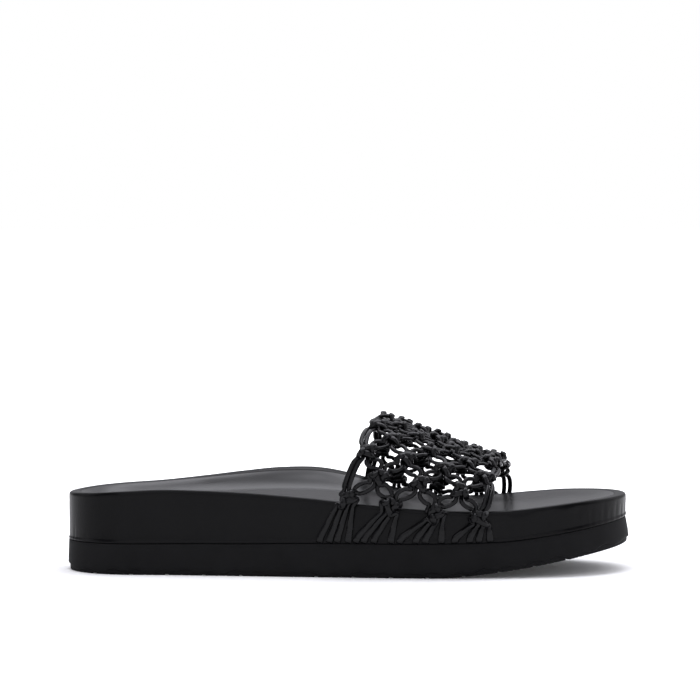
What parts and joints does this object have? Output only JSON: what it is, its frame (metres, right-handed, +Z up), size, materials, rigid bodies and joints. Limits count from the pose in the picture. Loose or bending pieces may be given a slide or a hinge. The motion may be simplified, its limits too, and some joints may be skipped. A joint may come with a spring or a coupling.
{
  "type": "slide sandal",
  "caption": "Slide sandal for the right foot: a net upper of knotted leather cords over a leather footbed with heel cup and arch, on a thick outsole with toe spring.",
  "frame": {"origin": "on the floor under the middle of the heel, 40 mm in front of the back of the heel", "axes": "+X towards the toe, +Y towards the medial (inner) side of this right shoe, +Z up"},
  "size_m": [0.255, 0.1004, 0.0707],
  "materials": {
    "outsole": "matte black moulded rubber",
    "midsole": "smooth black wrapped leather, satin",
    "insole": "smooth black leather, satin",
    "upper": "soft black leather cord, semi-gloss"
  },
  "bodies": {
    "root": {"outsole": "outsole", "midsole": "midsole", "insole": "insole", "upper": "upper"}
  },
  "joints": []
}
